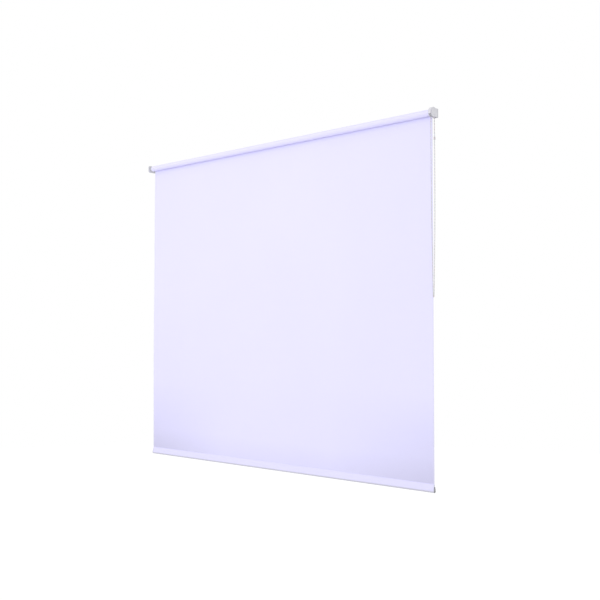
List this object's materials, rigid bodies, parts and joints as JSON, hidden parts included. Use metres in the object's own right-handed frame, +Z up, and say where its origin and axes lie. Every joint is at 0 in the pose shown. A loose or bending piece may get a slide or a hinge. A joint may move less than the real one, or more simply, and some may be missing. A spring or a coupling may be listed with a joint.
{
  "type": "roller blind",
  "caption": "Chain-operated roller blind: plain pale fabric on a tube between two wall brackets, with a bead-chain drive and a weighted hem rail.",
  "frame": {"origin": "middle of the control bracket's wall face, on the wall plane", "axes": "+X along the roller from the pin end to the chain end, +Y into the wall, +Z up"},
  "size_m": [1.8388, 0.0475, 1.5207],
  "materials": {
    "blind_fabric": "matte",
    "white_plastic": "satin",
    "chain_plastic": "satin",
    "cap_plastic": "satin",
    "bracket_steel": "satin",
    "aluminium": "satin",
    "spring_steel": "satin",
    "zinc_steel": "satin",
    "tape_film": "satin"
  },
  "bodies": {
    "fixed": {"control_bracket": "bracket_steel", "idle_bracket": "bracket_steel", "control_hub": "white_plastic", "chain_guard": "white_plastic", "retaining_washer": "zinc_steel", "retaining_screw": "zinc_steel", "bead_chain": "chain_plastic", "bead_chain_over_wheel": "chain_plastic", "chain_connector": "chain_plastic", "fabric_sheet": "blind_fabric"},
    "roller": {"roller_tube": "aluminium", "fabric_tape": "tape_film", "fabric_roll": "blind_fabric", "drive_sleeve": "white_plastic", "brake_spring_inner": "spring_steel", "brake_spring_outer": "spring_steel", "idle_end_plug": "white_plastic", "idle_pin_spring": "spring_steel", "pin_spring_stop": "white_plastic"},
    "wheel": {"chain_wheel": "white_plastic"},
    "pin": {"idle_pin": "zinc_steel"},
    "rail": {"bottom_rail": "aluminium", "hem_pocket": "blind_fabric", "rail_end_cap_left": "cap_plastic", "rail_end_cap_right": "cap_plastic"}
  },
  "joints": [
    {"name": "roller_spin", "type": "hinge", "parent": "fixed", "child": "roller", "pos_m": [0, -0.027, 0.001], "axis": [1, 0, 0], "range_deg": [0, 5040]},
    {"name": "chain_wheel_spin", "type": "hinge", "parent": "fixed", "child": "wheel", "pos_m": [0, -0.027, 0.001], "axis": [1, 0, 0], "range_deg": [0, 5040]},
    {"name": "rail_lift", "type": "slide", "parent": "fixed", "child": "rail", "axis": [0, 0, 1], "range_m": [0, 1.44], "deforming": ["fabric_sheet"]},
    {"name": "idle_pin_slide", "type": "slide", "parent": "roller", "child": "pin", "axis": [1, 0, 0], "range_m": [0, 0.007], "stiffness_N_per_m": 300, "springref_m": -0.01, "deforming": ["idle_pin_spring"]}
  ],
  "couplings": [
    {"joint": "chain_wheel_spin", "follows": "roller_spin", "ratio": 1},
    {"joint": "rail_lift", "follows": "roller_spin", "m_per_rad": 0.01637}
  ]
}
